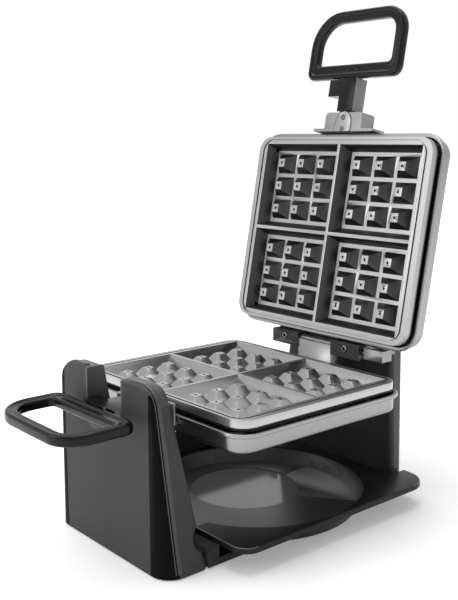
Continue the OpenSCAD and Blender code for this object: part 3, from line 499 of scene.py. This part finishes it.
def rounded_block(work, half_x, half_y, z0, z1, radius, steps=10):
    """A block with upright corners of that radius."""
    made = bmesh.ops.create_cube(work, size=1)
    verts = made["verts"]
    bmesh.ops.scale(work, verts=verts, vec=(2 * half_x * mm, 2 * half_y * mm, (z1 - z0) * mm))
    bmesh.ops.translate(work, verts=verts, vec=(0, 0, (z0 + z1) / 2 * mm))
    upright = [
        e for e in {e for v in verts for e in v.link_edges}
        if abs(e.verts[0].co.z - e.verts[1].co.z) > 0.0001
    ]
    bmesh.ops.bevel(
        work, geom=upright, offset=radius * mm, offset_type="OFFSET", affect="EDGES", segments=steps,
        profile=0.5, material=-1,
    )


def level_faces(work, z, up):
    """The flat faces at that height, in millimetres, that face up (1) or down (-1)."""
    return [f for f in work.faces if abs(f.calc_center_median().z - z * mm) < 0.00002 and f.normal.z * up > 0.9]


def drawn_shell():
    """The shell in its half's own frame, with +Z away from the plates' parting plane."""
    mouth, foot = 14.0, 29.5
    bead_low, bead_high = 11.0, 14.8
    work = bmesh.new()
    rounded_block(work, 101.5, 118.5, mouth, foot, 18.5)
    bmesh.ops.delete(work, geom=level_faces(work, mouth, -1), context="FACES_ONLY")
    low = [e for f in level_faces(work, foot, 1) for e in f.edges]
    bmesh.ops.bevel(
        work, geom=low, offset=4.0 * mm, offset_type="OFFSET", affect="EDGES", segments=5, profile=0.5,
        material=-1,
    )
    bmesh.ops.recalc_face_normals(work, faces=work.faces)
    if sum(f.normal.z for f in work.faces) < 0:
        bmesh.ops.reverse_faces(work, faces=work.faces)
    bmesh.ops.solidify(work, geom=work.faces, thickness=1.2 * mm)
    bead = bmesh.new()
    rounded_block(bead, 104.5, 122.5, bead_low, bead_high, 21.5)
    for z, up in ((bead_low, -1), (bead_high, 1)):
        bmesh.ops.inset_region(bead, faces=level_faces(bead, z, up), thickness=4.6 * mm)
    bmesh.ops.delete(
        bead,
        geom=[
            f for z, up in ((bead_low, -1), (bead_high, 1)) for f in level_faces(bead, z, up)
            if f.calc_center_median().length < 0.03
        ],
        context="FACES_ONLY",
    )
    bmesh.ops.bridge_loops(bead, edges=[e for e in bead.edges if e.is_boundary])
    bmesh.ops.recalc_face_normals(bead, faces=bead.faces)
    rim = [
        e for e in bead.edges
        if e.calc_face_angle(0) > radians(60) and max(abs(v.co.y) for v in e.verts) > 0.08
    ]
    bmesh.ops.bevel(
        bead, geom=rim, offset=0.9 * mm, offset_type="OFFSET", affect="EDGES", segments=3, profile=0.5,
        material=-1, clamp_overlap=True,
    )
    ring = bpy.data.meshes.new("ring")
    bead.to_mesh(ring)
    work.from_mesh(ring)
    bead.free()
    bpy.data.meshes.remove(ring)
    return work


steel = metal("steel", (0.28, 0.28, 0.28), 0.28, (1, 1, 6), 0.000002, 0.03)
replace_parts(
    piece("lower_shell", drawn_shell(), "grill", [steel], 30, lower_place), "lower_housing"
)
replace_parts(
    piece("lid_shell", drawn_shell(), "lid", [steel], 30, upper_place), "upper_housing"
)

# ---- Cooking plates ------------------------------------------------------------------------------------
# Two like castings in coated aluminium, each with four pockets of nine studs, a rim with a fine groove,
# and a dimple in each stud where the mould's pin stood. The slopes are painted darker as painted shade,
# most of all in the lid, and the groove, the dimples and the back near black as painted shade. The lid's
# flats are a little darker than the lower plate's, also as painted shade.


groove_z = 7.2 * mm
pocket_half = 0.0915, 0.106
rim_half_size = 0.0975, 0.1175
stud_middle = 0.0466, 0.05375
stud_step = 0.0248, 0.0288
dimple_r = 0.0015
dimple_area = 0.000009


def grid_plate(node, name, body, paints, place):
    """A plate from its CAD node, painted flat, slope shade and groove shade by where each face lies."""
    work = merged(node)
    ease(work, 0.7, steps=2, shortest=2.4, least=30)
    turn = place.to_3x3()
    bmesh.ops.bisect_plane(
        work, geom=work.verts[:] + work.edges[:] + work.faces[:], dist=0.000001,
        plane_co=place @ Vector((0, 0, groove_z)), plane_no=turn @ Vector((0, 0, 1)),
    )
    back = place.inverted()
    for face in work.faces:
        middle = back @ face.calc_center_median()
        up = face.normal.dot(turn @ Vector((0, 0, -1)))
        x, y, depth = abs(middle.x), abs(middle.y), middle.z
        # Slopes, the groove, the dimples and the back take painted shade.
        face.material_index = 0
        if x < pocket_half[0] and y < pocket_half[1]:
            face.material_index = 1 if up < 0.8 and depth > 0.0006 else 0
            across = (x - stud_middle[0] + stud_step[0] / 2) % stud_step[0] - stud_step[0] / 2
            along = (y - stud_middle[1] + stud_step[1] / 2) % stud_step[1] - stud_step[1] / 2
            centred = Vector((across, along)).length < dimple_r
            if centred and 0.002 < depth < 0.006 and face.calc_area() < dimple_area:
                face.material_index = 2
        elif x < rim_half_size[0] and y < rim_half_size[1] and depth < 0.0022:
            face.material_index = 2 if depth > 0.0007 else 0
        elif depth > groove_z:
            face.material_index = 2
    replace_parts(piece(name, work, body, paints, 25), node)


# The lid's flats, the slopes, the groove, the dimples and the back are painted darker: painted shade.
plate_flat = metal("plate_flat", (0.42, 0.42, 0.42), 0.36, (3, 3, 3), 0.000004, 0.04)
lid_flat_shade = metal("lid_flat_shade", (0.36, 0.36, 0.36), 0.36, (3, 3, 3), 0.000004, 0.04)
plate_slope_shade = metal("plate_slope_shade", (0.33, 0.33, 0.33), 0.25, (3, 3, 3), 0.000004, 0.04)
lid_slope_shade = metal("lid_slope_shade", (0.05, 0.05, 0.05), 0.4, (3, 3, 3), 0.000004, 0.04)
recess_and_back_shade = metal("recess_and_back_shade", (0.03, 0.03, 0.03), 0.5, (3, 3, 3), 0.000004, 0.04)
grid_plate("lower_plate", "lower_grid", "grill", [plate_flat, plate_slope_shade, recess_and_back_shade], lower_place)
grid_plate("upper_plate", "lid_grid", "lid", [lid_flat_shade, lid_slope_shade, recess_and_back_shade], upper_place)

# ---- Heating parts -------------------------------------------------------------------------------------
# Behind each plate lie a sheathed element, a bright reflector sheet and a fuse, with a thermostat on the
# lower plate. Long screws hold each shell to its plate.
sheath = metal("sheath", (0.2, 0.18, 0.17), 0.45, (4, 4, 4), 0.00005)
bright = metal("bright", (0.7, 0.7, 0.7), 0.25, (2, 12, 2), 0.00003)
dress(sheath, "lower_element", "upper_element")
dress(bright, "lower_reflector", "upper_reflector")
dress(zinc, "lower_plate_screws", "upper_plate_screws")

# ---- Brackets, necks and handles -------------------------------------------------------------------------
# A die-cast bracket on the left wall of each half grips a black neck under a clamp plate with two sunk
# screws. A looped phenolic handle with a channel round its face is screwed to the neck's end. The neck's
# faces towards -Y are painted light grey as painted light.
alloy = metal("alloy", (0.26, 0.26, 0.26), 0.42, (8, 8, 8), 0.00005)
alloy_light = metal("alloy_light", (0.3, 0.3, 0.3), 0.38, (8, 8, 8), 0.00004)
phenolic = moulded("phenolic", (0.003, 0.003, 0.003), 0.24, 400, 0.000002, 0.2)
black_oxide = metal("black_oxide", (0.08, 0.08, 0.08), 0.4, (3, 3, 3), 0.00005)


def cast_part(node, name, body, paint, radius):
    """Stands for a CAD node with its edges rounded, as a casting's are."""
    work = merged(node)
    ease(work, radius, shortest=1.2)
    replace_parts(piece(name, work, body, [paint]), node)


shadow = metal("shadow", (0.02, 0.02, 0.02), 0.6, (3, 3, 3), 0.000004)
# Light grey for the neck's faces towards -Y: painted light.
neck_lit_side = moulded("neck_lit_side", (0.28, 0.28, 0.28), 0.4, 400, 0.00002, 0.5)
for half, body, place in (("lower", "grill", lower_place), ("upper", "lid", upper_place)):
    work = merged(half + "_bracket")
    ease(work, 0.9, shortest=1.2)
    back = place.inverted()
    turn = back.to_3x3()
    for face in work.faces:
        middle = back @ face.calc_center_median()
        slot_wall = abs(middle.y) < 0.0125 and middle.z < 0.0045 and (turn @ face.normal).z > -0.7
        face.material_index = 1 if slot_wall else 0
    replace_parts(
        piece(half + "_cast_bracket", work, body, [alloy, shadow]), half + "_bracket"
    )
    work = merged(half + "_clamp_plate")
    ease(work, 0.4, shortest=0.5)
    for face in work.faces:
        seen = (turn @ face.normal).z < -0.5 and (back @ face.calc_center_median()).z < 0.0015
        face.material_index = 0 if seen else 1
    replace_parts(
        piece(half + "_clamp", work, body, [alloy_light, shadow]), half + "_clamp_plate"
    )
    work = merged(half + "_neck")
    ease(work, 0.9, shortest=1.2)
    for face in work.faces:
        # Faces towards -Y take the painted light.
        face.material_index = 1 if face.normal.y < -0.8 else 0
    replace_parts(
        piece(half + "_neck_moulding", work, body, [phenolic, neck_lit_side]), half + "_neck"
    )


grip_end, grip_root, grip_half = -228.8, -159.3, 61.0
grip_bar, grip_root_bar = 11.5, 14.5


def handle_ring(work, across, depth):
    """One closed outline of the grip, from its outside (across 0) to its opening (across 1)."""
    x0 = grip_end + grip_bar * across
    x1 = grip_root - grip_root_bar * across
    half = grip_half - grip_bar * across
    corners = [
        work.verts.new((x * mm, y * mm, depth * mm))
        for x, y in ((x1, half), (x0, half), (x0, -half), (x1, -half))
    ]
    face = work.faces.new(corners)
    for corner, outside, opening in zip(corners, (8, 37, 25, 10), (5, 25.5, 13.5, 5)):
        bmesh.ops.bevel(
            work, geom=[corner], offset=(outside + (opening - outside) * across) * mm, offset_type="OFFSET",
            affect="VERTICES", segments=8, profile=0.5, material=-1,
        )
    edges = [e for e in work.edges if abs(e.verts[0].co.z - depth * mm) < 0.000001 and e.link_faces]
    bmesh.ops.delete(work, geom=work.faces[:], context="FACES_ONLY")
    return edges


def loop_handle():
    """The looped grip in its half's own frame: a bead round the outside, a channel and an inner lip."""
    section = (
        (0, 6), (0, 3.3), (0.05, 1.9), (0.13, 1.1), (0.22, 0.9), (0.31, 1.2), (0.36, 1.7), (0.4, 2.3),
        (0.46, 2.5), (0.6, 2.35), (0.66, 2.2), (0.73, 2.05), (0.83, 1.9), (0.92, 2.3), (0.98, 3.4), (1, 5),
        (1, 8.4), (0.95, 10), (0.85, 10.7), (0.7, 10.9), (0.3, 10.8), (0.12, 10.5), (0.03, 9.4), (0, 8.2),
    )
    work = bmesh.new()
    rings = [handle_ring(work, across, depth) for across, depth in section]
    for ring, after in zip(rings, rings[1:] + rings[:1]):
        bmesh.ops.bridge_loops(work, edges=ring + after)
    bmesh.ops.recalc_face_normals(work, faces=work.faces)
    return work


for half, body, place in (("lower", "grill", lower_place), ("upper", "lid", upper_place)):
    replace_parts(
        piece(half + "_loop_handle", loop_handle(), body, [phenolic], 50, place),
        half + "_handle",
    )
dress(black_oxide, "lower_handle_screws", "upper_handle_screws")


def cross_head(work, place, radius, height):
    """A domed screw head with a cross recess, its seat at the origin and its top along +Z."""
    head = bmesh.new()
    bmesh.ops.create_grid(head, x_segments=5, y_segments=5, size=radius * 0.62 * mm)
    cross = [
        f for f in head.faces
        if min(abs(f.calc_center_median().x), abs(f.calc_center_median().y)) < radius * 0.05 * mm
        and f.calc_center_median().length < radius * 0.55 * mm
    ]
    inner = [e for e in head.edges if e.is_boundary]
    bmesh.ops.create_circle(head, segments=20, radius=radius * 0.9 * mm)
    outer = [e for e in head.edges if e.is_wire]
    bmesh.ops.bridge_loops(head, edges=inner + outer)
    for size, drop in ((radius, 0.35), (radius, 1.0)):
        edges = [e for e in head.edges if e.is_boundary]
        made = bmesh.ops.extrude_edge_only(head, edges=edges)
        moved = [g for g in made["geom"] if isinstance(g, bmesh.types.BMVert)]
        for v in moved:
            out = Vector((v.co.x, v.co.y, 0)).normalized() * size * mm
            v.co = (out.x, out.y, -drop * height * mm)
    made = bmesh.ops.extrude_face_region(head, geom=cross)
    moved = [g for g in made["geom"] if isinstance(g, bmesh.types.BMVert)]
    bmesh.ops.translate(head, verts=moved, vec=(0, 0, -height * 0.6 * mm))
    bmesh.ops.delete(head, geom=[f for f in cross if f.is_valid], context="FACES")
    bmesh.ops.holes_fill(head, edges=[e for e in head.edges if e.is_boundary], sides=40)
    bmesh.ops.recalc_face_normals(head, faces=head.faces)
    head.transform(place @ Matrix.Translation((0, 0, height * mm)))
    bmesh.ops.recalc_face_normals(head, faces=head.faces)
    mesh = bpy.data.meshes.new("head")
    head.to_mesh(mesh)
    work.from_mesh(mesh)
    head.free()
    bpy.data.meshes.remove(mesh)


clamp_screws_x = -107.2, -119.0
clamp_screws_z = 1.9
for half, body, place in (("lower", "grill", lower_place), ("upper", "lid", upper_place)):
    work = bmesh.new()
    for x in clamp_screws_x:
        seat = Matrix.Translation((x * mm, 0, clamp_screws_z * mm)) @ Matrix.Rotation(pi, 4, "X")
        cross_head(work, place @ seat, 2.2, 1.2)
    piece(half + "_clamp_screw_heads", work, body, [alloy])
dress(black_oxide, "lower_bracket_screws", "upper_bracket_screws")

# ---- Lid hinge and swivel --------------------------------------------------------------------------------
# A cast block on the lower shell holds the hinge pin and the hollow swivel shaft. Two black ears and a
# stop lug on the lid's shell turn on the pin; a ring keeps the shaft in its bearing.
cast_part("hinge_block", "hinge_casting", "grill", alloy_light, 1.0)
ear_black = moulded("ear_black", (0.02, 0.02, 0.02), 0.35, 400, 0.00001, 0.5)
cast_part("front_hinge_ear", "front_ear", "lid", ear_black, 0.9)
cast_part("rear_hinge_ear", "rear_ear", "lid", ear_black, 0.9)
cast_part("lid_stop_lug", "stop_lug", "lid", alloy, 0.9)
dress(zinc, "hinge_pin", "swivel_shaft", "hinge_block_screws", "shaft_retainer")
work = bmesh.new()
ear_x, ear_y, ear_z = 104.3 * mm, 42.4 * mm, 150.9 * mm
for side in (-1, 1):
    seat = Matrix.Translation((ear_x, side * ear_y, ear_z)) @ Matrix.Rotation(-pi / 2, 4, "Y")
    cross_head(work, seat, 3.0, 1.2)
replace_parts(piece("ear_screw_heads", work, "lid", [zinc]), "ear_screws")
dress(rubber, "swivel_lead")
